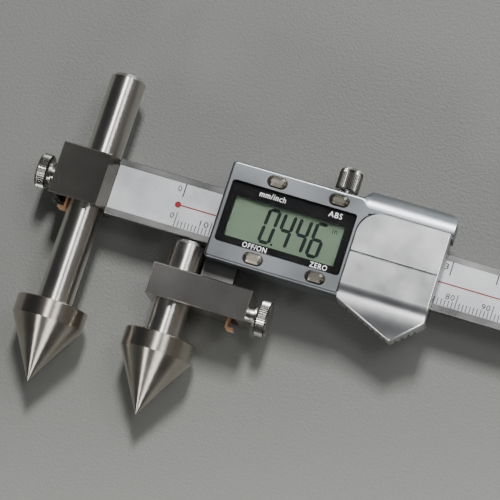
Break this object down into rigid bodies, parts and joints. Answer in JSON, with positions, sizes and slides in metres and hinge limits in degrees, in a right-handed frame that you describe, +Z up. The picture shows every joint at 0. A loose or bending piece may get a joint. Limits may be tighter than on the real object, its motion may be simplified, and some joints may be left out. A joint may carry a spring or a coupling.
{
  "type": "centerline caliper",
  "caption": "Digital centre-distance caliper with a sliding display head and cone-pointed rods that seat in holes.",
  "frame": {"origin": "middle of the whole caliper's box in plan, on the surface it lies on, with the slider at the reading it shows in the picture", "axes": "+X along the beam towards larger readings, +Y from the cone points towards the free end of the long rod, +Z up out of the scale and display"},
  "size_m": [0.2566, 0.0894, 0.0207],
  "materials": {
    "ground_steel": "ground",
    "bright_steel": "polished",
    "block_steel": "ground, dark",
    "knurled_steel": "knurled",
    "scale_silver": "matt, printed",
    "bronze": "polished",
    "satin_silver": "satin",
    "button_metal": "polished",
    "window": "gloss, black border",
    "lcd": "satin",
    "black_rubber": "matt",
    "board_green": "gloss",
    "fastener": "plain",
    "cell_steel": "bright"
  },
  "bodies": {
    "beam": {"beam": "ground_steel", "scale_strip": "scale_silver", "fixed_clamp_block": "block_steel", "fixed_clamp_leaf": "bronze", "end_stop": "ground_steel", "end_stop_screws": "fastener"},
    "long_rod": {"long_rod": "bright_steel", "long_rod_cone": "bright_steel"},
    "fixed_clamp_screw": {"fixed_clamp_screw": "knurled_steel"},
    "slider": {"slider_frame": "ground_steel", "back_plate": "ground_steel", "slider_clamp_block": "block_steel", "slider_clamp_leaf": "bronze", "push_pin": "ground_steel", "gib_strip": "bronze", "gib_screws": "fastener", "housing": "satin_silver", "housing_screws": "fastener", "display_window": "window", "lcd_panel": "lcd", "lcd_connectors": "black_rubber", "circuit_board": "board_green", "board_screws": "fastener", "button_domes": "black_rubber", "coin_cell": "cell_steel", "negative_contact": "bronze", "positive_contact": "bronze"},
    "short_rod": {"short_rod": "bright_steel", "short_rod_cone": "bright_steel"},
    "slider_clamp_screw": {"slider_clamp_screw": "knurled_steel"},
    "lock_screw": {"lock_screw": "knurled_steel"},
    "button_unit": {"button_unit": "button_metal"},
    "button_abs": {"button_abs": "button_metal"},
    "button_power": {"button_power": "button_metal"},
    "button_zero": {"button_zero": "button_metal"},
    "battery_cover": {"battery_cover": "satin_silver"}
  },
  "joints": [
    {"name": "slider_travel", "type": "slide", "parent": "beam", "child": "slider", "axis": [1, 0, 0], "range_m": [-0.011, 0.1386]},
    {"name": "long_rod_slide", "type": "slide", "parent": "beam", "child": "long_rod", "axis": [0, 1, 0], "range_m": [-0.022, 0.0258]},
    {"name": "short_rod_slide", "type": "slide", "parent": "slider", "child": "short_rod", "axis": [0, 1, 0], "range_m": [-0.0085, 0.0005]},
    {"name": "fixed_screw_turn", "type": "hinge", "parent": "beam", "child": "fixed_clamp_screw", "pos_m": [-0.12702, 0.01241, 0.01], "axis": [-1, 0, 0], "range_deg": [0, 360]},
    {"name": "slider_screw_turn", "type": "hinge", "parent": "slider", "child": "slider_clamp_screw", "pos_m": [-0.05602, -0.00959, 0.01], "axis": [1, 0, 0], "range_deg": [0, 360]},
    {"name": "lock_screw_turn", "type": "hinge", "parent": "slider", "child": "lock_screw", "pos_m": [-0.04469, 0.03351, 0.01085], "axis": [0, 1, 0], "range_deg": [0, 360]},
    {"name": "button_unit_press", "type": "slide", "parent": "slider", "child": "button_unit", "axis": [0, 0, -1], "range_m": [0, 0.0004], "stiffness_N_per_m": 900},
    {"name": "button_abs_press", "type": "slide", "parent": "slider", "child": "button_abs", "axis": [0, 0, -1], "range_m": [0, 0.0004], "stiffness_N_per_m": 900},
    {"name": "button_power_press", "type": "slide", "parent": "slider", "child": "button_power", "axis": [0, 0, -1], "range_m": [0, 0.0004], "stiffness_N_per_m": 900},
    {"name": "button_zero_press", "type": "slide", "parent": "slider", "child": "button_zero", "axis": [0, 0, -1], "range_m": [0, 0.0004], "stiffness_N_per_m": 900},
    {"name": "battery_cover_slide", "type": "slide", "parent": "slider", "child": "battery_cover", "axis": [1, 0, 0], "range_m": [0, 0.026]}
  ]
}
